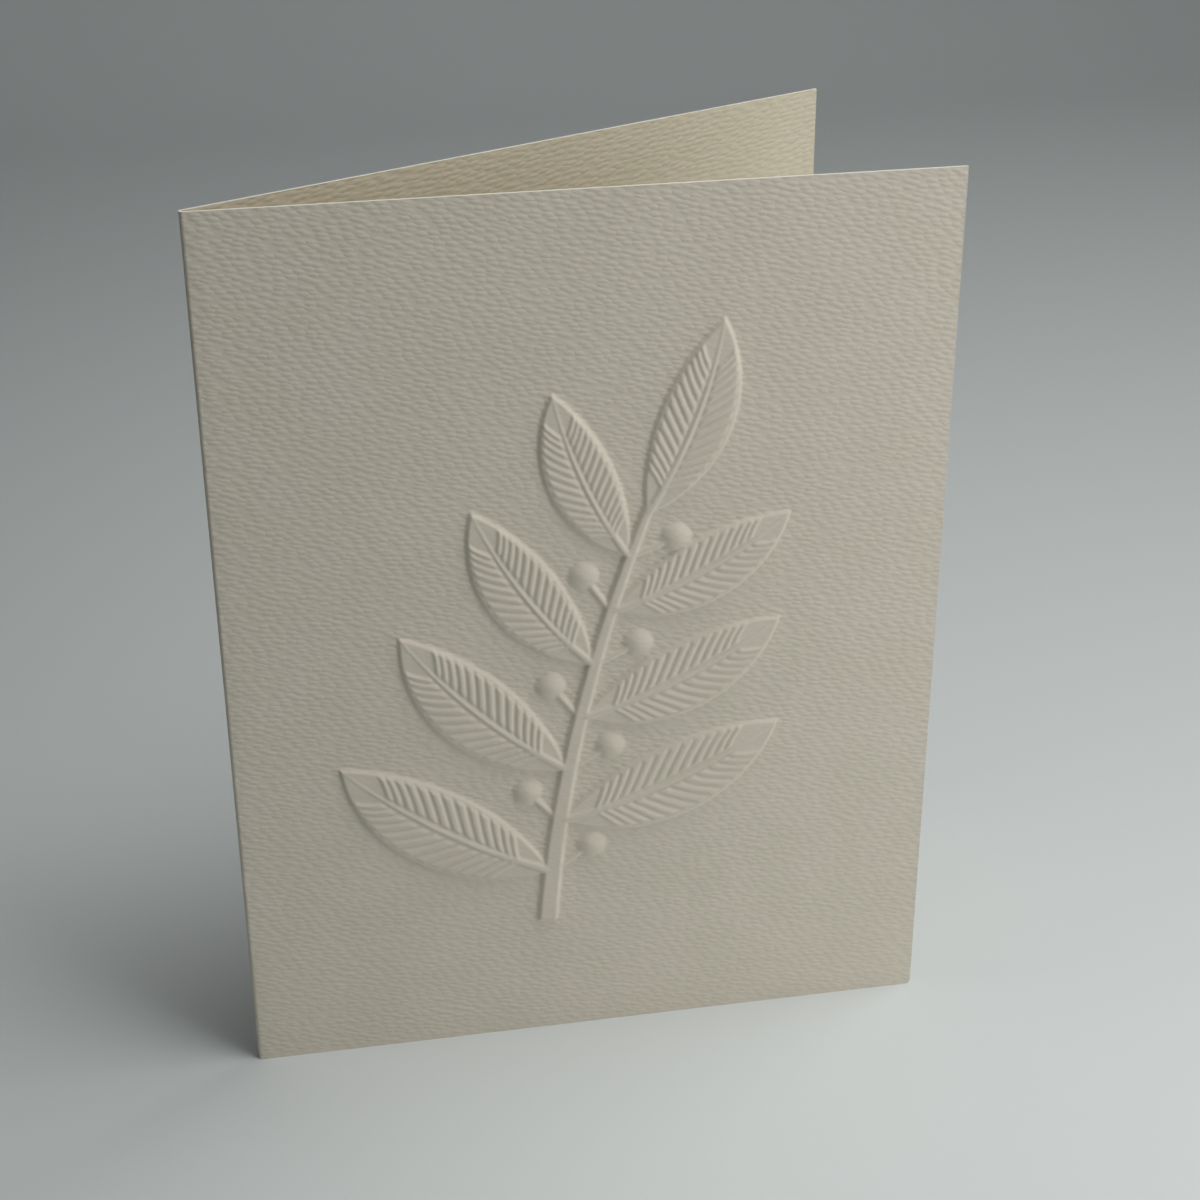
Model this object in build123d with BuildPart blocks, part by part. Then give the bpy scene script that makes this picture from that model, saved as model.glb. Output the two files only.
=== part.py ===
"""Folded greeting card in heavy felt-marked paper, standing open, with a blind-embossed sprig on its front.

Millimetres, +Z up. The front panel lies along X and faces -Y, the fold is at its left, and the back panel
opens away behind it. The origin is on the table, under the middle of the card's box.
"""

import os
from cmath import exp
from math import atan, cos, radians, sin, sqrt, tan

from build123d import *

# Sheet: one piece, cut to twice the panel's width and folded once
panel_width = 107.95
panel_height = 139.7
sheet_thickness = 0.42
fold_inner_radius = 0.2
opening_angle = 24.2
worn_corner_radius = 0.8

# Stem of the sprig, as shares of the front panel: across from the fold, and up from the foot
stem_foot_shares = (0.435, 0.15)
stem_middle_shares = (0.492, 0.43)
stem_tip_shares = (0.585, 0.66)
stem_foot_width = 3.4
stem_tip_width = 1.8
stem_relief = 0.68

# Leaves: one at each node along the stem, on alternate sides, and one at its tip
node_count = 7
first_node_share = 0.13
last_node_share = 0.88
leaf_length = 39.0
top_leaf_length_share = 0.74
tip_leaf_length_share = 0.82
tip_leaf_overlap = 2.0
low_leaf_angle = 62.0
top_leaf_angle = 42.0
outer_belly_share = 0.23
inner_belly_share = 0.12
leaf_relief = 0.48

# Ribs of a leaf: a midrib, and side ribs that run from it towards the margin
midrib_width = 1.3
rib_pitch = 2.25
rib_width = 1.45
rib_gap = 0.35
rib_margin = 0.85
rib_lean_angle = 46.0
ribs_before_middle = 7
ribs_past_middle = 5
rib_relief = 0.28

# Berries: one at each node, across from its leaf, on a short stalk
berry_diameter = 4.8
berry_relief = 0.85
berry_reach = 7.4
berry_angle = 50.0
stalk_width = 1.1
stalk_relief = 0.42

# Pressing: slopes of the relief from the upright, and how far a raised form starts below the face under it
shoulder_angle = 34.0
rib_side_angle = 14.0
rooting = 0.1

# Frame, worked out from the sizes above
highest_relief = max(berry_relief, stem_relief, leaf_relief + rib_relief)
half_opening = radians(opening_angle / 2)
fold_left = -panel_width / 2
free_edge = fold_left + panel_width
apex_x = fold_left + fold_inner_radius + sheet_thickness - fold_inner_radius / tan(half_opening)
inner_length = free_edge - apex_x
back_run = inner_length * cos(radians(opening_angle))
back_depth = inner_length * sin(radians(opening_angle))
back_edge_depth = sheet_thickness * cos(radians(opening_angle))
card_depth = highest_relief + sheet_thickness + back_depth + back_edge_depth
front_face = highest_relief - card_depth / 2
inner_face = front_face + sheet_thickness

# Both faces of the front panel, drawn as seen from outside with the corner at the foot of the fold
outer_plane = Plane(origin=(fold_left, front_face, 0), x_dir=(1, 0, 0), z_dir=(0, -1, 0))
inner_plane = Plane(origin=(fold_left, inner_face, 0), x_dir=(1, 0, 0), z_dir=(0, -1, 0))
leaf_plane = outer_plane.offset(leaf_relief - rooting)


def on_panel(shares):
    """Point of the front panel from its shares of the width and the height."""
    return Vector(shares[0] * panel_width, shares[1] * panel_height)


def as_complex(point):
    return complex(point.X, point.Y)


def as_point(value):
    return (value.real, value.imag)


def turned(direction, angle):
    """Direction turned by an angle in degrees, as a complex number."""
    return as_complex(direction) * exp(1j * radians(angle))


# Axis of the stem
stem_axis = ThreePointArc(
    on_panel(stem_foot_shares), on_panel(stem_middle_shares), on_panel(stem_tip_shares), mode=Mode.PRIVATE
)

# Leaf in its own coordinates: a strip of angles between two margins, drawn in to a point at both ends
outer_margin = 2 * atan(2 * outer_belly_share)
inner_margin = -2 * atan(2 * inner_belly_share)
midrib_angle = (outer_margin + inner_margin) / 2
strip_per_length = 4 / leaf_length


class Leaf:
    """One leaf, from its base on the stem to its tip, with its outer margin on the given side."""

    def __init__(self, base, direction, length, side):
        self.base = as_complex(base)
        self.chord = direction * length
        self.side = side

    def at(self, along, across):
        """Point of the leaf: along passes zero at its middle, across is an angle between the margins."""
        share = 1 / (1 + exp(-complex(along, self.side * across)))
        return self.base + self.chord * share

    def point(self, along, across):
        return as_point(self.at(along, across))

    def base_point(self):
        return as_point(self.base)

    def tip_point(self):
        return as_point(self.base + self.chord)


def node_rise(node):
    """Share of the way from the lowest node to the highest."""
    return node / (node_count - 1)


def node_share(node):
    return first_node_share + (last_node_share - first_node_share) * node_rise(node)


def node_side(node):
    return 1 if node % 2 == 0 else -1


def node_leaf(node):
    """Side leaf at a node: smaller and steeper towards the top of the stem."""
    rise = node_rise(node)
    share = node_share(node)
    angle = low_leaf_angle + (top_leaf_angle - low_leaf_angle) * rise
    length = leaf_length * (1 + (top_leaf_length_share - 1) * rise)
    return Leaf(stem_axis @ share, turned(stem_axis % share, node_side(node) * angle), length, node_side(node))


def berry_place(node):
    """Centre of a berry, on the other side of the stem from the node's leaf."""
    share = node_share(node)
    away = turned(stem_axis % share, -node_side(node) * berry_angle)
    return as_complex(stem_axis @ share) + away * berry_reach


def side_rib(leaf, along, root, end):
    """Corners of a slanting rib, from beside the midrib to just inside the margin."""
    half_width = rib_width / 2 * strip_per_length
    run = abs(end - root) * tan(radians(rib_lean_angle))
    return (
        leaf.point(along - half_width, root),
        leaf.point(along + half_width, root),
        leaf.point(along + run + half_width, end),
        leaf.point(along + run - half_width, end),
    )


def stem_edge(side):
    """Foot, middle and tip of the stem's edge on one side of its axis."""
    middle_width = (stem_foot_width + stem_tip_width) / 2
    widths = (stem_foot_width, middle_width, stem_tip_width)
    shares = (0, 1 / 2, 1)
    for share, width in zip(shares, widths):
        yield as_point(as_complex(stem_axis @ share) + turned(stem_axis % share, side * 90) * width / 2)


def tip_leaf():
    """Leaf that carries the stem on, from a little below its end."""
    share = 1 - tip_leaf_overlap / stem_axis.length
    return Leaf(stem_axis @ share, turned(stem_axis % share, 0), leaf_length * tip_leaf_length_share, -1)


leaves = [node_leaf(node) for node in range(node_count)] + [tip_leaf()]
berries = [berry_place(node) for node in range(node_count)]

# Outlines of the relief on the outer face
with BuildSketch(outer_plane) as blades:
    for leaf in leaves:
        with BuildLine():
            ThreePointArc(leaf.base_point(), leaf.point(0, outer_margin), leaf.tip_point())
            ThreePointArc(leaf.tip_point(), leaf.point(0, inner_margin), leaf.base_point())
        make_face()

with BuildSketch(outer_plane) as stem:
    left_edge = list(stem_edge(1))
    right_edge = list(stem_edge(-1))
    with BuildLine():
        ThreePointArc(*left_edge)
        Line(left_edge[-1], right_edge[-1])
        ThreePointArc(*reversed(right_edge))
        Line(right_edge[0], left_edge[0])
    make_face()

with BuildSketch(outer_plane) as stalks:
    for node, berry in enumerate(berries):
        start = as_complex(stem_axis @ node_share(node))
        half_across = 1j * (berry - start) / abs(berry - start) * stalk_width / 2
        corners = (start - half_across, berry - half_across, berry + half_across, start + half_across)
        Polygon(*[as_point(corner) for corner in corners], align=None)

with BuildSketch(leaf_plane) as midribs:
    for leaf in leaves:
        half_across = 1j * leaf.chord / leaf_length * midrib_width / 2
        middle = leaf.at(0, midrib_angle)
        left = (as_point(leaf.base + half_across), as_point(middle + half_across / 2))
        right = (as_point(leaf.base - half_across), as_point(middle - half_across / 2))
        with BuildLine():
            Line(right[0], left[0])
            ThreePointArc(left[0], left[1], leaf.tip_point())
            ThreePointArc(leaf.tip_point(), right[1], right[0])
        make_face()

with BuildSketch(leaf_plane) as side_ribs:
    root_gap = (midrib_width / 2 + rib_gap) * strip_per_length
    margin_gap = rib_margin * strip_per_length
    outlines = []
    for leaf in leaves:
        for step in range(-ribs_before_middle, ribs_past_middle + 1):
            along = step * rib_pitch * strip_per_length
            outlines.append(side_rib(leaf, along, midrib_angle + root_gap, outer_margin - margin_gap))
            outlines.append(side_rib(leaf, along, midrib_angle - root_gap, inner_margin + margin_gap))
    add([Polygon(*corners, align=None, mode=Mode.PRIVATE) for corners in outlines])

# Hollows on the inner face, drawn in so that the sheet keeps its thickness round each shoulder
hollow_inset = sheet_thickness * tan(radians((90 - shoulder_angle) / 2))

with BuildSketch(inner_plane) as blade_hollows:
    offset(blades.sketch_local, amount=-hollow_inset)

with BuildSketch(inner_plane) as stem_hollow:
    offset(stem.sketch_local, amount=-hollow_inset)


def dome(radius, height):
    """Round cap standing on the XY plane, rooted a little below it."""
    half_arc = atan(height / radius)
    cap_radius = radius / sin(2 * half_arc)
    shoulder = (cap_radius * sin(half_arc), cap_radius * cos(half_arc) + height - cap_radius)
    with BuildPart() as cap:
        with BuildSketch(Plane.XZ):
            with BuildLine():
                Polyline((0, height), (0, -rooting), (radius, -rooting), (radius, 0))
                ThreePointArc((radius, 0), shoulder, (0, height))
            make_face()
        revolve(axis=Axis.Z)
    return cap.part


berry_radius = berry_diameter / 2
berry_sphere = (berry_radius**2 + berry_relief**2) / (2 * berry_relief)
hollow_rise = berry_relief + sheet_thickness - berry_sphere
hollow_radius = sqrt((berry_sphere - sheet_thickness) ** 2 - hollow_rise**2)
berry_dome = dome(berry_radius, berry_relief)
berry_hollow = dome(hollow_radius, berry_relief)

# The folded sheet: its section in plan, raised to the panel's height, then pressed from behind
with BuildPart() as folded_card:
    with BuildSketch():
        with BuildLine():
            FilletPolyline(
                (free_edge, inner_face),
                (apex_x, inner_face),
                (apex_x + back_run, inner_face + back_depth),
                radius=fold_inner_radius,
            )
            offset(amount=sheet_thickness, side=Side.LEFT)
        make_face()
    extrude(amount=panel_height)
    front_corners = folded_card.edges().filter_by(Axis.Y)
    fillet(front_corners.sort_by(Axis.Z)[0], radius=worn_corner_radius)

    extrude(blades.sketch, amount=leaf_relief, taper=shoulder_angle)
    extrude(stem.sketch, amount=stem_relief, taper=shoulder_angle)
    extrude(stalks.sketch, amount=stalk_relief, taper=shoulder_angle)
    with Locations([outer_plane.location * Location(as_point(berry)) for berry in berries]):
        add(berry_dome)

    extrude(blade_hollows.sketch, amount=leaf_relief, taper=shoulder_angle, mode=Mode.SUBTRACT)
    extrude(stem_hollow.sketch, amount=stem_relief, taper=shoulder_angle, mode=Mode.SUBTRACT)
    with Locations([inner_plane.location * Location(as_point(berry)) for berry in berries]):
        add(berry_hollow, mode=Mode.SUBTRACT)

    extrude(midribs.sketch, amount=rib_relief + rooting, taper=rib_side_angle)
    extrude(side_ribs.sketch, amount=rib_relief + rooting, taper=rib_side_angle)

folded_card.part.label = "folded_card"
os.makedirs("parts", exist_ok=True)
export_step(folded_card.part, "parts/folded_card.step")
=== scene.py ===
from math import atan, ceil, cos, pi, radians, sin, tan

import bmesh
import bpy
import numpy as np
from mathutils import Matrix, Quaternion, Vector
from mathutils.bvhtree import BVHTree
from mathutils.geometry import delaunay_2d_cdt


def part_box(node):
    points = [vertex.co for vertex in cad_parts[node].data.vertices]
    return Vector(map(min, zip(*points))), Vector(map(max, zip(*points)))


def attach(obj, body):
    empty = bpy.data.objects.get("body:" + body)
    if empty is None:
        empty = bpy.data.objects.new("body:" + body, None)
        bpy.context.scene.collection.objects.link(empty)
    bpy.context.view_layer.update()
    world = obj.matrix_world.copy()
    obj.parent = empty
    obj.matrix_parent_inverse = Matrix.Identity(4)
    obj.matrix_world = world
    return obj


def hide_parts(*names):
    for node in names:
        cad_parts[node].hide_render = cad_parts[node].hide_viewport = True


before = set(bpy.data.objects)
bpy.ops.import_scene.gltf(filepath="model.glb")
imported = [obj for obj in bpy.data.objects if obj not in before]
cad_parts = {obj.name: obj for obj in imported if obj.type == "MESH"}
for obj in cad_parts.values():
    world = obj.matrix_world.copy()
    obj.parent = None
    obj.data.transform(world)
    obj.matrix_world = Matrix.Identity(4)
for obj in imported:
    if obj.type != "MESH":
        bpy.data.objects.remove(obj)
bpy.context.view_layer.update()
lowCorner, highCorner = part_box("folded_card")
mm = 0.001  # the sheet is cut and pressed flat in millimetres, then folded in metres
panelWidth = (highCorner[0] - lowCorner[0]) / mm
panelHeight = (highCorner[2] - lowCorner[2]) / mm


class Wire:  # a node output; arithmetic on it adds Math nodes
    def __init__(self, desk, socket):
        self.desk = desk
        self.socket = socket

    def __add__(self, other):
        return self.desk.math("ADD", self, other)

    def __sub__(self, other):
        return self.desk.math("SUBTRACT", self, other)

    def __rsub__(self, other):
        return self.desk.math("SUBTRACT", other, self)

    def __mul__(self, other):
        return self.desk.math("MULTIPLY", self, other)

    def __truediv__(self, other):
        return self.desk.math("DIVIDE", self, other)

    __radd__ = __add__
    __rmul__ = __mul__


class Desk:  # a node tree that is being wired
    def __init__(self, tree):
        self.tree = tree

    def add(self, kind, feeds=None, **settings):
        node = self.tree.nodes.new(kind)
        for name, value in settings.items():
            setattr(node, name, value)
        for name, value in (feeds or {}).items():
            self.feed(node.inputs[name], value)
        return node

    def feed(self, socket, value):
        if isinstance(value, Wire):
            value = value.socket
        if isinstance(value, bpy.types.NodeSocket):
            self.tree.links.new(value, socket)
        else:
            socket.default_value = value

    def wire(self, node, output=0):
        return Wire(self, node.outputs[output])

    def made(self, kind, feeds=None, **settings):  # a new node's first output
        return self.wire(self.add(kind, feeds, **settings))

    def math(self, operation, *values):
        node = self.add("ShaderNodeMath", operation=operation)
        for socket, value in zip(node.inputs, values):
            self.feed(socket, value)
        return self.wire(node)

    def smooth(self, value, low, high):  # 0 at low, 1 at high
        feeds = {"Value": value, "From Min": low, "From Max": high}
        return self.made("ShaderNodeMapRange", feeds, interpolation_type="SMOOTHSTEP")

    def mixed(self, share, first, second, blend="MIX"):  # of two colours
        node = self.add("ShaderNodeMix", data_type="RGBA", blend_type=blend)
        colourSockets = (node.inputs[0], node.inputs[6], node.inputs[7])
        for socket, value in zip(colourSockets, (share, first, second)):
            self.feed(socket, value)
        return self.wire(node, 2)

    def split(self, vector):
        node = self.add("ShaderNodeSeparateXYZ", {"Vector": vector})
        return [self.wire(node, axis) for axis in "XYZ"]

    def join(self, x=0.0, y=0.0, z=0.0):
        return self.made("ShaderNodeCombineXYZ", {"X": x, "Y": y, "Z": z})

    def scaled(self, vector, share):
        node = self.add("ShaderNodeVectorMath", {"Scale": share}, operation="SCALE")
        self.feed(node.inputs[0], vector)
        return self.wire(node)

    def moved(self, vector, step):
        node = self.add("ShaderNodeVectorMath", operation="ADD")
        for socket, value in zip(node.inputs, (vector, step)):
            self.feed(socket, value)
        return self.wire(node)


geometrySocket = "NodeSocketGeometry"
socketKinds = {float: "NodeSocketFloat", int: "NodeSocketInt", tuple: "NodeSocketVector"}


class Group(Desk):  # a node group with named inputs and one output
    def __init__(self, name, kind, inputs, output, outputKind):
        super().__init__(bpy.data.node_groups.new(name, kind))
        for label, value in inputs.items():
            hasValue = not isinstance(value, str)
            socketKind = socketKinds[type(value)] if hasValue else value
            socket = self.tree.interface.new_socket(label, in_out="INPUT", socket_type=socketKind)
            if hasValue:
                socket.default_value = value
        self.tree.interface.new_socket(output, in_out="OUTPUT", socket_type=outputKind)
        self.entry = self.add("NodeGroupInput")
        self.exit = self.add("NodeGroupOutput")

    def named(self, label):
        return Wire(self, self.entry.outputs[label])

    def ends(self, result):
        self.feed(self.exit.inputs[0], result)
        return self.tree


def shapeGroup(name, inputs, output):
    return Group(name, "GeometryNodeTree", inputs, output, geometrySocket)


def unitGrid(desk, columns, rows):  # a grid over 0..1 each way, with its two coordinates
    grid = desk.made("GeometryNodeMeshGrid", {"Vertices X": columns, "Vertices Y": rows})
    x, y, _ = desk.split(desk.made("GeometryNodeInputPosition"))
    return grid, x + 0.5, y + 0.5


def shaped(desk, grid, place):
    return desk.made("GeometryNodeSetPosition", {"Geometry": grid, "Position": place})


def joined(desk, pieces):
    both = desk.add("GeometryNodeJoinGeometry")
    for piece in pieces:
        desk.feed(both.inputs[0], piece)
    return desk.wire(both)


def arcAngle(sagShare):  # of an arc that stands off its chord by this share of the chord
    return 2 * atan(2 * sagShare)


# The leaf of the die: sizes at the longest leaf, in millimetres
leafSizes = {
    "Leaf length": 39.0,
    "Outer belly": arcAngle(0.23),
    "Inner belly": -arcAngle(0.12),
    "Leaf relief": 0.48,
    "Rib relief": 0.28,
    "Rib pitch": 2.25,
    "Rib width": 1.45,
    "Rib gap": 0.35,          # between a rib and the midrib
    "Rib margin": 0.85,       # between a rib and the leaf's edge
    "Rib lean": tan(radians(46)),
    "Rib softness": 0.13,
    "Ribs below middle": 7.0,
    "Ribs above middle": 5.0,
    "Midrib width": 1.3,
    "Midrib softness": 0.14,
    "Shoulder": 0.33,
    "Toe": 0.02,              # the shoulder's foot lies this far past the edge
    "Apron": 0.2,             # and the die goes on flat as far as this
    "Strip reach": 6.0,       # how far the strip runs either way before it is a point
    "Columns": 480,
    "Rows": 72,
}


def leafDie():
    desk = shapeGroup("leafDie", leafSizes, "Leaf")
    length, outer, inner = (desk.named(name) for name in ("Leaf length", "Outer belly", "Inner belly"))
    perLength = desk.math("DIVIDE", 4.0, length)  # strip to a millimetre at the leaf's middle
    grid, u, v = unitGrid(desk, desk.named("Columns"), desk.named("Rows"))
    apron = desk.named("Apron") * perLength
    across = inner - apron + v * (outer - inner + 2.0 * apron)  # angle over the strip
    midrib = (outer + inner) * 0.5
    away = desk.math("ABSOLUTE", across - midrib)
    root = (desk.named("Midrib width") * 0.5 + desk.named("Rib gap")) * perLength
    reach = desk.named("Strip reach")
    row = u * (reach * 2.0) - reach  # runs along a rib, so the grid's columns follow the ribs
    along = row + (away - root) * desk.named("Rib lean")

    shrink = desk.math("EXPONENT", along * -1.0)  # the strip drawn in to a point at both ends
    cosine = desk.math("COSINE", across)
    spread = 1.0 + shrink * (2.0 * cosine + shrink)
    x = (1.0 + shrink * cosine) / spread
    y = shrink * desk.math("SINE", across) / spread
    scale = shrink / spread * length

    edge = desk.math("MINIMUM", outer - across, across - inner)
    field = desk.smooth(edge * scale, desk.named("Toe") * -1.0, desk.named("Shoulder"))
    pitch = desk.named("Rib pitch") * perLength
    count = desk.math("ROUND", row / pitch)
    off = desk.math("ABSOLUTE", row - count * pitch)
    half = desk.named("Rib width") * 0.5 * perLength
    soft = desk.named("Rib softness") * perLength
    margin = desk.named("Rib margin") * perLength
    ribs = 1.0 - desk.smooth(off, half - soft, half + soft)
    ribs = ribs * desk.smooth(away, root - soft, root + soft)
    ribs = ribs * desk.smooth(edge, margin - soft, margin + soft)
    ribs = ribs * desk.math("GREATER_THAN", count, desk.named("Ribs below middle") * -1.0 - 0.5)
    ribs = ribs * desk.math("LESS_THAN", count, desk.named("Ribs above middle") + 0.5)
    midHalf = desk.named("Midrib width") * 0.5 * (1.0 - x)
    midSoft = desk.named("Midrib softness")
    ridge = 1.0 - desk.smooth(away * scale, midHalf - midSoft, midHalf + midSoft)
    ribs = desk.math("MAXIMUM", ribs, ridge)
    height = field * (desk.named("Leaf relief") + desk.named("Rib relief") * ribs)
    return desk.ends(shaped(desk, grid, desk.join(x, y, height)))


berrySizes = {
    "Reach": 7.4,             # from the stem's middle to the berry's
    "Stalk width": 1.1,
    "Stalk relief": 0.42,
    "Berry diameter": 4.8,
    "Berry relief": 0.85,
    "Shoulder": 0.3,
    "Toe": 0.04,
    "Apron": 0.2,
    "Stalk columns": 60,
    "Stalk rows": 24,
    "Berry columns": 64,
    "Berry rows": 30,
}


def berryDie():
    desk = shapeGroup("berryDie", berrySizes, "Berry")
    reach, apron = desk.named("Reach"), desk.named("Apron")

    grid, u, v = unitGrid(desk, desk.named("Stalk columns"), desk.named("Stalk rows"))
    half = desk.named("Stalk width") * 0.5
    off = (v * 2.0 - 1.0) * (half + apron)
    low, high = half - desk.named("Shoulder"), half + desk.named("Toe")
    rise = 1.0 - desk.smooth(desk.math("ABSOLUTE", off), low, high)
    stalk = shaped(desk, grid, desk.join(u * reach, off, rise * desk.named("Stalk relief")))

    grid, u, v = unitGrid(desk, desk.named("Berry columns"), desk.named("Berry rows"))
    radius = desk.named("Berry diameter") * 0.5
    relief = desk.named("Berry relief")
    ball = (radius * radius + relief * relief) / (2.0 * relief)
    out = v * (radius + apron)
    dome = desk.math("SQRT", desk.math("MAXIMUM", ball * ball - out * out, 0.0)) - ball + relief
    turn = u * (2 * pi)
    x = reach + out * desk.math("COSINE", turn)
    y = out * desk.math("SINE", turn)
    berry = shaped(desk, grid, desk.join(x, y, desk.math("MAXIMUM", dome, 0.0)))
    return desk.ends(joined(desk, (stalk, berry)))


stemSizes = {
    "Foot width": 3.4,
    "Tip width": 1.8,
    "Stem relief": 0.68,
    "Shoulder": 0.46,
    "Toe": 0.04,
    "Apron": 0.2,
    "Columns": 260,
    "Rows": 30,
}


def stemDie():
    desk = shapeGroup("stemDie", {**stemSizes, "Axis": geometrySocket}, "Stem")
    grid, u, v = unitGrid(desk, desk.named("Columns"), desk.named("Rows"))
    axisFeeds = {"Curves": desk.named("Axis"), "Factor": u}
    axis = desk.add("GeometryNodeSampleCurve", axisFeeds, mode="FACTOR")
    footWidth = desk.named("Foot width")
    half = (footWidth + u * (desk.named("Tip width") - footWidth)) * 0.5
    off = (v * 2.0 - 1.0) * (half + desk.named("Apron"))
    low, high = half - desk.named("Shoulder"), half + desk.named("Toe")
    rise = 1.0 - desk.smooth(desk.math("ABSOLUTE", off), low, high)
    length = desk.made("GeometryNodeCurveLength", {"Curve": desk.named("Axis")})
    rise = rise * desk.smooth(u * length, 0.0, desk.named("Shoulder"))
    tx, ty, _ = desk.split(desk.wire(axis, "Tangent"))
    step = desk.join(ty * off * -1.0, tx * off, rise * desk.named("Stem relief"))
    return desk.ends(shaped(desk, grid, desk.moved(desk.wire(axis, "Position"), step)))


# Places on the front panel, as shares of its width and height
sprig = {
    "footShares": (0.435, 0.15),
    "middleShares": (0.492, 0.43),
    "tipShares": (0.585, 0.66),
    "stemPoints": 96,
    "nodes": 7,
    "firstNode": 0.13,        # shares of the stem's length
    "lastNode": 0.88,
    "topLeafShare": 0.74,     # of the longest leaf
    "tipLeafShare": 0.82,
    "tipOverlap": 2.0,        # the tip leaf starts this far below the end of the stem
    "lowLeafDeg": 62.0,
    "topLeafDeg": 42.0,
    "berryDeg": 50.0,
}


def onPanel(shares):
    return (shares[0] * panelWidth, shares[1] * panelHeight, 0.0)


def sprigDie():
    inputs = {
        "Foot": onPanel(sprig["footShares"]),
        "Middle": onPanel(sprig["middleShares"]),
        "Tip": onPanel(sprig["tipShares"]),
        "Stem points": sprig["stemPoints"],
        "Nodes": sprig["nodes"],
        "First node": sprig["firstNode"],
        "Last node": sprig["lastNode"],
        "Leaf length": leafSizes["Leaf length"],
        "Top leaf": sprig["topLeafShare"],
        "Tip leaf": sprig["tipLeafShare"],
        "Tip overlap": sprig["tipOverlap"],
        "Low leaf angle": radians(sprig["lowLeafDeg"]),
        "Top leaf angle": radians(sprig["topLeafDeg"]),
        "Berry angle": radians(sprig["berryDeg"]),
    }
    desk = shapeGroup("sprigDie", inputs, "Die")
    ends = {"Start": desk.named("Foot"), "Middle": desk.named("Middle"), "End": desk.named("Tip")}
    arcFeeds = {"Resolution": desk.named("Stem points"), **ends}
    axis = desk.made("GeometryNodeCurveArc", arcFeeds, mode="POINTS")

    def stemPoint(factor):  # a place on the stem and the way the stem heads there
        feeds = {"Curves": axis, "Factor": factor}
        sample = desk.add("GeometryNodeSampleCurve", feeds, mode="FACTOR")
        tx, ty, _ = desk.split(desk.wire(sample, "Tangent"))
        return desk.wire(sample, "Position"), desk.math("ARCTAN2", ty, tx)

    def points(count, place):
        return desk.made("GeometryNodePoints", {"Count": count, "Position": place})

    def placed(points, instance, turn, x, y):
        spin = desk.made("FunctionNodeEulerToRotation", {"Euler": desk.join(z=turn)})
        sizes = {"Rotation": spin, "Scale": desk.join(x, y, 1.0)}
        feeds = {"Points": points, "Instance": instance, **sizes}
        return desk.made("GeometryNodeInstanceOnPoints", feeds)

    index = desk.made("GeometryNodeInputIndex")
    rise = index / (desk.named("Nodes") - 1.0)
    firstNode = desk.named("First node")
    place, heading = stemPoint(firstNode + rise * (desk.named("Last node") - firstNode))
    nodePoints = points(desk.named("Nodes"), place)
    side = 1.0 - 2.0 * desk.math("MODULO", index, 2.0)

    leaf = desk.made("GeometryNodeGroup", node_tree=leafDie())
    longest = desk.named("Leaf length")
    length = longest * (1.0 + rise * (desk.named("Top leaf") - 1.0))
    lowTurn, topTurn = desk.named("Low leaf angle"), desk.named("Top leaf angle")
    leafTurn = heading + side * (lowTurn + rise * (topTurn - lowTurn))
    leaves = placed(nodePoints, leaf, leafTurn, length, side * length)
    berry = desk.made("GeometryNodeGroup", node_tree=berryDie())
    berries = placed(nodePoints, berry, heading - side * desk.named("Berry angle"), 1.0, 1.0)

    stemLength = desk.made("GeometryNodeCurveLength", {"Curve": axis})
    tipPlace, tipHeading = stemPoint(1.0 - desk.named("Tip overlap") / stemLength)
    tipLength = longest * desk.named("Tip leaf")
    tipLeaf = placed(points(1, tipPlace), leaf, tipHeading, tipLength, tipLength * -1.0)
    stem = desk.made("GeometryNodeGroup", node_tree=stemDie())
    desk.feed(stem.socket.node.inputs["Axis"], axis)

    whole = joined(desk, (leaves, berries, tipLeaf, stem))
    return desk.ends(desk.made("GeometryNodeRealizeInstances", {"Geometry": whole}))


press = {
    "Ray height": 20.0,       # rays start this far over the sheet
    "Soften rounds": 1,
    "Soften weight": 0.4,
    "Full press": 0.3,        # relief at which the felt marks are pressed flat
}


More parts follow.
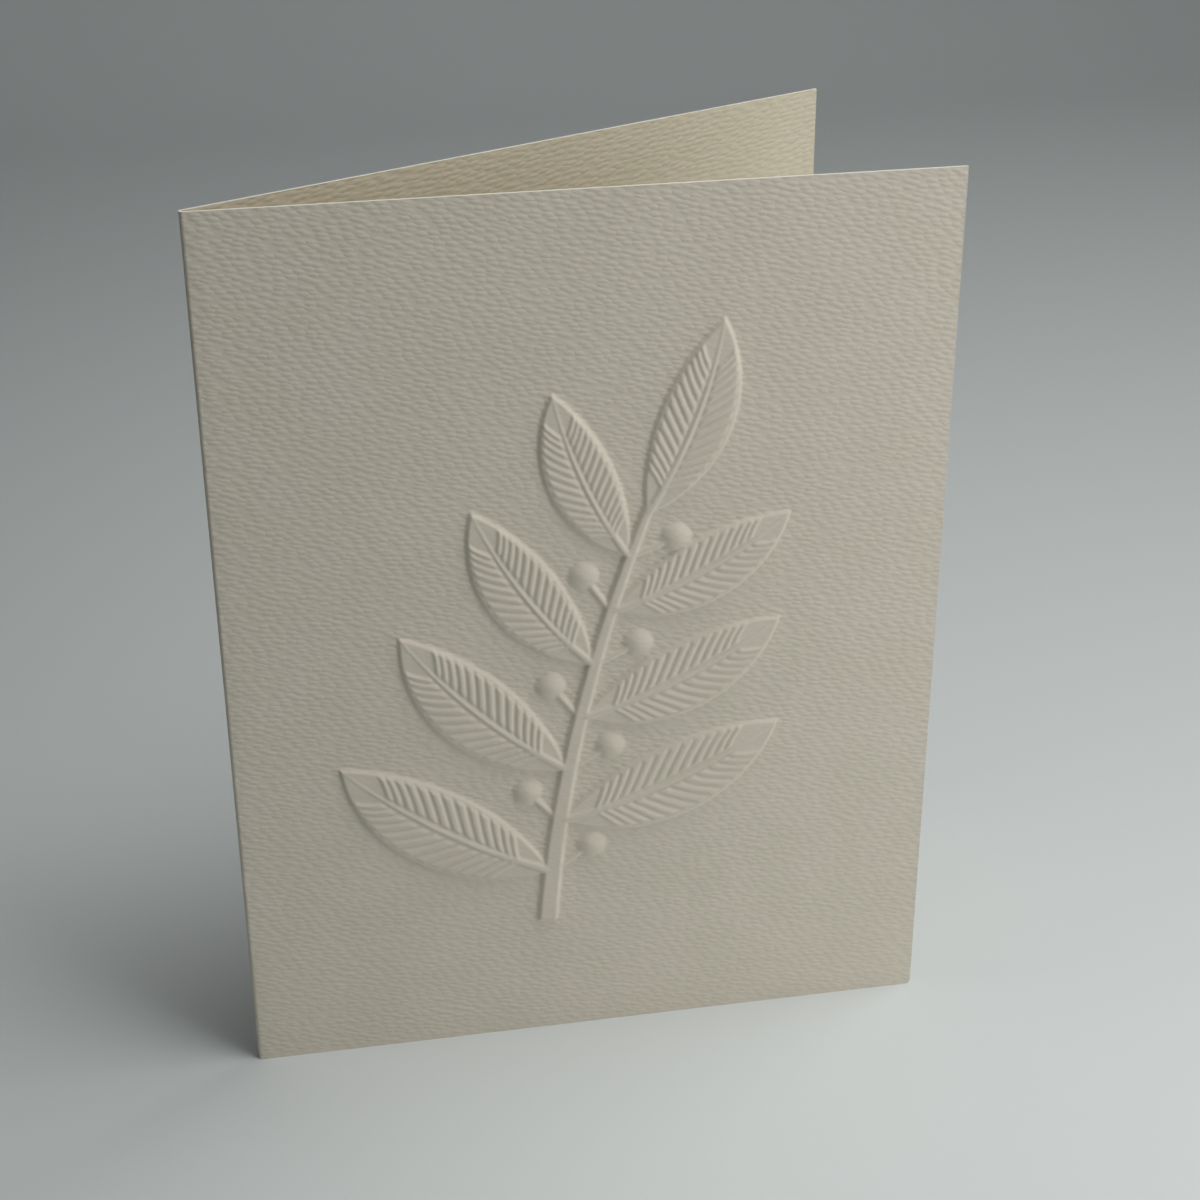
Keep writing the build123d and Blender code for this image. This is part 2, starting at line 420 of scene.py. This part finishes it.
def pressTree():
    finishes = {"Stock": "NodeSocketMaterial", "Cut": "NodeSocketMaterial"}
    inputs = {"Sheet": geometrySocket, "Die": "NodeSocketObject", **finishes, **press}
    desk = shapeGroup("pressedSheet", inputs, "Sheet")
    die = desk.wire(desk.add("GeometryNodeObjectInfo", {"Object": desk.named("Die")}), "Geometry")
    x, y, _ = desk.split(desk.made("GeometryNodeInputPosition"))
    rayHeight = desk.named("Ray height")
    ray = desk.add("GeometryNodeRaycast", {
        "Target Geometry": die,
        "Source Position": desk.join(x, y, rayHeight),
        "Ray Direction": (0, 0, -1),
        "Ray Length": rayHeight * 2.0,
    })
    _, _, hit = desk.split(desk.wire(ray, "Hit Position"))
    raised = desk.math("MAXIMUM", hit * desk.wire(ray, "Is Hit"), 0.0)
    rounds = {"Iterations": desk.named("Soften rounds"), "Weight": desk.named("Soften weight")}
    soft = desk.made("GeometryNodeBlurAttribute", {"Value": raised, **rounds}, data_type="FLOAT")

    share = desk.smooth(soft, 0.0, desk.named("Full press"))
    keepFeeds = {"Geometry": desk.named("Sheet"), "Name": "pressed", "Value": share}
    keepAs = {"data_type": "FLOAT", "domain": "POINT"}
    kept = desk.made("GeometryNodeStoreNamedAttribute", keepFeeds, **keepAs)
    lift = {"Geometry": kept, "Offset": desk.join(z=soft)}
    pressed = desk.made("GeometryNodeSetPosition", lift)
    real = desk.made("GeometryNodeRealizeInstances", {"Geometry": pressed})
    stockFeeds = {"Geometry": real, "Material": desk.named("Stock")}
    covered = desk.made("GeometryNodeSetMaterial", stockFeeds)
    rim = desk.made("GeometryNodeInputNamedAttribute", {"Name": "rim"}, data_type="BOOLEAN")
    cutFeeds = {"Geometry": covered, "Selection": rim, "Material": desk.named("Cut")}
    return desk.ends(desk.made("GeometryNodeSetMaterial", cutFeeds))


def asObject(name, data):
    thing = bpy.data.objects.new(name, data)
    bpy.context.scene.collection.objects.link(thing)
    return thing


def nodesApplied(thing, tree, values):  # runs a tree on an object and gives the plain mesh
    modifier = thing.modifiers.new(tree.name, "NODES")
    modifier.node_group = tree
    for item in tree.interface.items_tree:
        if item.in_out == "INPUT" and item.name in values:
            modifier[item.identifier] = values[item.name]
    evaluated = thing.evaluated_get(bpy.context.evaluated_depsgraph_get())
    mesh = bpy.data.meshes.new_from_object(evaluated)
    thing.modifiers.remove(modifier)
    return mesh


dieBlank = asObject("dieBlank", bpy.data.meshes.new("dieBlank"))
dieMesh = nodesApplied(dieBlank, sprigDie(), {})
dieObject = asObject("sprigDie", dieMesh)
print("die:", len(dieMesh.polygons), "faces")

# The sheet as it was cut, in millimetres
sheet = {
    "thickness": 0.42,
    "foldRadius": 0.2,        # of the inner face
    "openingDeg": 24.2,
    "wornCorner": 0.8,
    "cornerFacets": 6,
    "edgeStep": 2.8,          # spacing of points along the cut edges
    "insetShare": 0.7,        # of that step, from the cut edges to the first points
    "openStep": 2.6,          # spacing on the plain part of a panel
    "outerStep": 0.22,        # spacing over the pressed part, outside
    "innerStep": 0.4,         # and inside
    "rowShare": 0.866,        # spacing of rows to spacing of points
    "fineRing": 0.4,          # fine points go this far past the die
    "clearRing": 1.1,         # and plain points keep this far from it
    "foldColumns": 14,
    "backColumns": 12,
    "sharpDeg": 65,           # edges that bend more than this are shaded sharp
}
insideOnly = 1    # delaunay_2d_cdt keeps the triangles inside the outline
cdtSlack = 1e-5
keyDigits = 4     # places of the two faces are matched to this many digits

# The flat sheet runs from the back panel's edge, through the bend, to the front panel's edge
bendStart = sheet["foldRadius"] + sheet["thickness"]
bendTurn = pi - radians(sheet["openingDeg"])
bendLength = (sheet["foldRadius"] + sheet["thickness"] / 2) * bendTurn
panelFlat = panelWidth - bendStart
flatStart = bendStart - bendLength - panelFlat
print("flat sheet:", round(panelWidth - flatStart, 2), "by", round(panelHeight, 2), "mm")


def stepped(start, end, step):  # evenly spaced values, with both ends
    count = max(1, ceil(abs(end - start) / step))
    return [start + (end - start) * index / count for index in range(count + 1)]


def frontOutline():  # counter-clockwise, with the worn corner at the free foot
    worn, step = sheet["wornCorner"], sheet["edgeStep"]
    points = [(x, 0.0) for x in stepped(bendStart, panelWidth - worn, step)]
    for turn in stepped(-pi / 2, 0, pi / 2 / sheet["cornerFacets"])[1:]:
        points.append((panelWidth - worn + worn * cos(turn), worn + worn * sin(turn)))
    points += [(panelWidth, y) for y in stepped(worn, panelHeight, step)[1:]]
    points += [(x, panelHeight) for x in stepped(panelWidth, bendStart, step)[1:]]
    points += [(bendStart, y) for y in stepped(panelHeight, 0, step)[1:-1]]
    return points


def hexPoints(low, high, step):
    for row, y in enumerate(np.arange(low[1], high[1], step * sheet["rowShare"])):
        for x in np.arange(low[0] + (row % 2) * step / 2, high[0], step):
            yield float(x), float(y)


def frontTriangles(dieTree, step):  # fine over the die, open elsewhere
    corners = [vertex.co for vertex in dieMesh.vertices]
    low = [min(corner[axis] for corner in corners) - sheet["fineRing"] for axis in (0, 1)]
    high = [max(corner[axis] for corner in corners) + sheet["fineRing"] for axis in (0, 1)]

    def isClose(point, ring):  # over the die, or within a ring around it
        if dieTree.find_nearest(Vector((*point, 0)), ring)[0] is not None:
            return True
        above = Vector((*point, press["Ray height"]))
        return dieTree.ray_cast(above, Vector((0, 0, -1)))[0] is not None

    outline = frontOutline()
    fine = [point for point in hexPoints(low, high, step) if isClose(point, sheet["fineRing"])]
    inset = sheet["edgeStep"] * sheet["insetShare"]
    openLow = (bendStart + inset, inset)
    openHigh = (panelWidth - inset, panelHeight - inset)
    spread = hexPoints(openLow, openHigh, sheet["openStep"])
    plain = [point for point in spread if not isClose(point, sheet["clearRing"])]
    points = [Vector(point) for point in outline + fine + plain]
    loop = list(range(len(outline)))
    net = delaunay_2d_cdt(points, [], [loop], insideOnly, cdtSlack)
    return [tuple(point) for point in net[0]], net[2]


def sheetFace(mesh, dieTree, depth, step):  # one face of the sheet; gives its vertices by place
    known = {}

    def vertexAt(x, y):
        key = (round(x, keyDigits), round(y, keyDigits))
        if key not in known:
            known[key] = mesh.verts.new((x, y, depth))
        return known[key]

    points, triangles = frontTriangles(dieTree, step)
    faces = [[vertexAt(*points[corner]) for corner in face] for face in triangles]
    rows = stepped(0, panelHeight, sheet["edgeStep"])
    bendColumns = stepped(bendStart, bendStart - bendLength, bendLength / sheet["foldColumns"])
    backColumns = stepped(bendColumns[-1], flatStart, panelFlat / sheet["backColumns"])
    columns = bendColumns + backColumns[1:]
    for x0, x1 in zip(columns, columns[1:]):
        for y0, y1 in zip(rows, rows[1:]):
            corners = ((x1, y0), (x0, y0), (x0, y1), (x1, y1))
            faces.append([vertexAt(*corner) for corner in corners])
    for face in faces:
        mesh.faces.new(face if depth == 0 else face[::-1])
    print("flat face at depth", depth, "has", len(faces), "faces")
    return known


def flatSheet():
    mesh = bmesh.new()
    rim = mesh.faces.layers.bool.new("rim")
    places = [vertex.co for vertex in dieMesh.vertices]
    dieTree = BVHTree.FromPolygons(places, [face.vertices for face in dieMesh.polygons])
    outer = sheetFace(mesh, dieTree, 0.0, sheet["outerStep"])
    inner = sheetFace(mesh, dieTree, -sheet["thickness"], sheet["innerStep"])
    keys = {vertex: key for key, vertex in outer.items()}
    for edge in [edge for edge in mesh.edges if edge.is_boundary and edge.verts[0] in keys]:
        start, end = edge.verts
        if edge.link_loops[0].vert is start:  # the rim runs against its neighbour
            start, end = end, start
        face = mesh.faces.new([start, end, inner[keys[end]], inner[keys[start]]])
        face[rim] = True
    flat = bpy.data.meshes.new("flatSheet")
    mesh.to_mesh(flat)
    mesh.free()
    return flat


def folded(flat):  # flat places, with the height over the outer face, to places in the frame
    x, y, rise = flat[:, 0], flat[:, 1], flat[:, 2]
    opening = radians(sheet["openingDeg"])
    turn = np.clip((bendStart - x) / bendLength, 0, 1) * bendTurn
    outward = np.stack([-np.sin(turn), -np.cos(turn)], axis=1)
    outerFace = lowCorner[1] / mm + berrySizes["Berry relief"]
    centre = np.array([lowCorner[0] / mm + bendStart, outerFace + bendStart])
    place = centre + outward * (bendStart + rise)[:, None]
    place[:, 0] += np.maximum(x - bendStart, 0)
    beyond = np.maximum(bendStart - bendLength - x, 0)
    place += beyond[:, None] * np.array([cos(opening), sin(opening)])
    return np.stack([place[:, 0], place[:, 1], y], axis=1) * mm


# Felt marks: short lens-shaped dashes, scattered about leaning rows
felt = {
    "Mark length": 1.75,      # millimetres from mark to mark along a row
    "Row pitch": 0.8,
    "Lean": 0.32,             # of a length, from row to row
    "Scatter": 0.74,
    "Mark rim": 0.62,         # distances from a mark's middle, in row pitches
    "Mark crown": 0.1,
    "Fibre": 0.2,
    "Fibre scale": 4.0,
    "Fibre detail": 1.0,
}

stock = {
    "colour": (0.825, 0.762, 0.636, 1),
    "paleColour": (0.845, 0.778, 0.656, 1),
    # painted shade: the inner face is made darker and warmer, standing in for the shade and warm
    # bounce light inside the fold
    "paintedInsideShade": (0.89, 0.88, 0.81, 1),
    "mottleScale": 0.09,
    "mottleDetail": 4.0,
    "mottleRange": (0.3, 0.7),
    "feltDepth": 0.075,       # millimetres
    "insideShare": 0.6,       # the inner face carries fainter marks
    "pressedShare": 0.75,     # how much of the felt the die presses flat
    "roughness": 0.88,
    "specular": 0.3,
}

# The cut edges are painted paler than the stock: a painted highlight where the edges catch the
# overhead light
edgeHighlight = {"colour": (0.88, 0.855, 0.76, 1), "roughness": 0.95, "specular": 0.2}

# The UV map is the flat sheet, with the inner face above the outer one
unroll = {
    "span": 300.0,            # millimetres to one unit of the map
    "insideRise": 0.5,
    "split": 0.49,            # lies between the two faces
}


def plainFinish(name, colour, roughness, specular):
    material = bpy.data.materials.new(name)
    material.use_nodes = True
    shader = material.node_tree.nodes["Principled BSDF"]
    shader.inputs["Base Color"].default_value = colour
    shader.inputs["Roughness"].default_value = roughness
    shader.inputs["Specular IOR Level"].default_value = specular
    return material


def feltMarks():
    inputs = {"Place": (0.0, 0.0, 0.0), **felt}
    desk = Group("feltMarks", "ShaderNodeTree", inputs, "Height", "NodeSocketFloat")
    place = desk.named("Place")
    x, y, _ = desk.split(place)
    row = y / desk.named("Row pitch")
    along = x / desk.named("Mark length") + row * desk.named("Lean")
    cellFeeds = {"Vector": desk.join(along, row), "Scale": 1.0, "Randomness": desk.named("Scatter")}
    cells = desk.made("ShaderNodeTexVoronoi", cellFeeds, voronoi_dimensions="2D", feature="F1")
    dashes = desk.smooth(cells, desk.named("Mark rim"), desk.named("Mark crown"))
    grain = {"Scale": desk.named("Fibre scale"), "Detail": desk.named("Fibre detail")}
    fibre = desk.made("ShaderNodeTexNoise", {"Vector": place, **grain}, noise_dimensions="2D")
    return desk.ends(dashes + fibre * desk.named("Fibre"))


def cardStock():
    material = plainFinish("cardStock", stock["colour"], stock["roughness"], stock["specular"])
    desk = Desk(material.node_tree)
    shader = material.node_tree.nodes["Principled BSDF"]
    place = desk.scaled(desk.made("ShaderNodeUVMap", uv_map="unrolled"), unroll["span"])
    _, up, _ = desk.split(place)
    isInside = desk.math("GREATER_THAN", up, unroll["split"] * unroll["span"])

    cloud = {"Scale": stock["mottleScale"], "Detail": stock["mottleDetail"]}
    mottle = desk.made("ShaderNodeTexNoise", {"Vector": place, **cloud}, noise_dimensions="2D")
    paleness = desk.smooth(mottle, *stock["mottleRange"])
    shade = desk.mixed(paleness, stock["colour"], stock["paleColour"])
    # Painted shade on the inner face: multiplied darker and warmer, standing in for the shade and warm
    # bounce light inside the fold
    shade = desk.mixed(isInside, shade, stock["paintedInsideShade"], "MULTIPLY")

    marks = desk.add("ShaderNodeGroup", node_tree=feltMarks())
    desk.feed(marks.inputs["Place"], place)
    pressed = desk.wire(desk.add("ShaderNodeAttribute", attribute_name="pressed"), "Fac")
    height = desk.wire(marks) * (1.0 - pressed * stock["pressedShare"])
    height = height * (1.0 - isInside * (1.0 - stock["insideShare"]))
    bump = desk.made("ShaderNodeBump", {"Height": height, "Distance": stock["feltDepth"] * mm})
    desk.feed(shader.inputs["Base Color"], shade)
    desk.feed(shader.inputs["Normal"], bump)
    return material


# Cut, press and fold the card
blank = asObject("flatSheet", flatSheet())
isInner = np.array([vertex.co.z < 0 for vertex in blank.data.vertices])
finishes = {"Stock": cardStock(), "Cut": plainFinish("paintedEdgeHighlight", **edgeHighlight)}
cardMesh = nodesApplied(blank, pressTree(), {**press, **finishes, "Die": dieObject})
flatPlaces = np.empty(len(cardMesh.vertices) * 3)
cardMesh.vertices.foreach_get("co", flatPlaces)
flatPlaces = flatPlaces.reshape(-1, 3)
cardMesh.vertices.foreach_set("co", folded(flatPlaces).ravel())
cardMesh.update()

uvLayer = cardMesh.uv_layers.new(name="unrolled")
corners = np.empty(len(cardMesh.loops), dtype=np.int32)
cardMesh.loops.foreach_get("vertex_index", corners)
unrolled = (flatPlaces[:, :2] - (flatStart, 0)) / unroll["span"]
unrolled[isInner, 1] += unroll["insideRise"]
uvLayer.data.foreach_set("uv", unrolled[corners].ravel())
cardMesh.shade_smooth()
cardMesh.set_sharp_from_angle(angle=radians(sheet["sharpDeg"]))
for spare in (dieBlank, dieObject, blank):
    bpy.data.objects.remove(spare)

card = asObject("pressedCard", cardMesh)
print("card:", sum(len(face.vertices) - 2 for face in cardMesh.polygons), "triangles")
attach(card, "root")
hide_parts("folded_card")

# Studio, in metres: a pale sweep, and soft lamps overhead, high at the right and low in front
studio = {
    "coveStart": 0.52,
    "coveRadius": 0.2,
    "coveFacets": 20,
    "reach": 1.6,
    "lanes": 8,
    "worldColour": (0.96, 0.99, 1.0, 1),
    "worldLevel": 0.045,
}
floor = {"colour": (0.775, 0.815, 0.808, 1), "roughness": 0.7, "specular": 0.2}
lamps = {
    "overheadLamp": {"place": (0.14, -0.08, 0.53), "size": 0.3, "watts": 1.3},
    "rightLamp": {"place": (0.50, 0.12, 0.50), "size": 0.4, "watts": 0.65},
    "lowLamp": {"place": (0.21, -0.19, 0.14), "size": 0.2, "watts": 0.215},
}
lampAim = Vector((0, 0, 0.06))


def sweep():
    start, radius, reach = (studio[name] for name in ("coveStart", "coveRadius", "reach"))
    profile = [(-reach, 0.0), (start, 0.0)]
    for turn in stepped(0, pi / 2, pi / 2 / studio["coveFacets"])[1:]:
        profile.append((start + radius * sin(turn), radius - radius * cos(turn)))
    profile.append((start + radius, reach))
    mesh = bmesh.new()
    stations = stepped(-reach, reach, 2 * reach / studio["lanes"])
    lanes = [[mesh.verts.new((x, y, z)) for y, z in profile] for x in stations]
    for lane, after in zip(lanes, lanes[1:]):
        for index in range(len(profile) - 1):
            mesh.faces.new([lane[index], after[index], after[index + 1], lane[index + 1]])
    surface = bpy.data.meshes.new("sweep")
    mesh.to_mesh(surface)
    mesh.free()
    surface.shade_smooth()
    surface.materials.append(plainFinish("paleFloor", **floor))
    asObject("sweep", surface)


def hangLamp(name, place, size, watts):
    light = bpy.data.lights.new(name, "AREA")
    light.shape = "SQUARE"
    light.size = size
    light.energy = watts
    thing = asObject(name, light)
    thing.location = place
    thing.rotation_euler = (lampAim - Vector(place)).to_track_quat("-Z", "Y").to_euler()


sweep()
for name, settings in lamps.items():
    hangLamp(name, **settings)
world = bpy.data.worlds.new("studio")
world.use_nodes = True
world.node_tree.nodes["Background"].inputs["Color"].default_value = studio["worldColour"]
world.node_tree.nodes["Background"].inputs["Strength"].default_value = studio["worldLevel"]
bpy.context.scene.world = world
bpy.context.scene.view_settings.view_transform = "Standard"
print("studio: a sweep and", len(lamps), "lamps")

# Camera: solved from the card's corners; its place is in millimetres from the foot of the fold
viewPoint = {
    "place": (4.47, -286.23, 227.56),
    "forward": (0.1566, 0.8744, -0.4593),
    "rollDeg": 0.335,
    "lens": 66.52,
    "sensor": 36,
    "clipStart": 0.01,        # metres
}
foldFoot = Vector((lowCorner[0], lowCorner[1] + berrySizes["Berry relief"] * mm, 0))
lens = bpy.data.cameras.new("camera")
lens.lens = viewPoint["lens"]
lens.sensor_width = viewPoint["sensor"]
lens.clip_start = viewPoint["clipStart"]
camera = asObject("camera", lens)
camera.location = foldFoot + Vector(viewPoint["place"]) * mm
aim = Vector(viewPoint["forward"]).normalized()
roll = Quaternion(aim, radians(viewPoint["rollDeg"]))
camera.rotation_euler = (roll @ aim.to_track_quat("-Z", "Y")).to_euler()
bpy.context.scene.camera = camera
print("camera:", [round(part, 4) for part in camera.location])
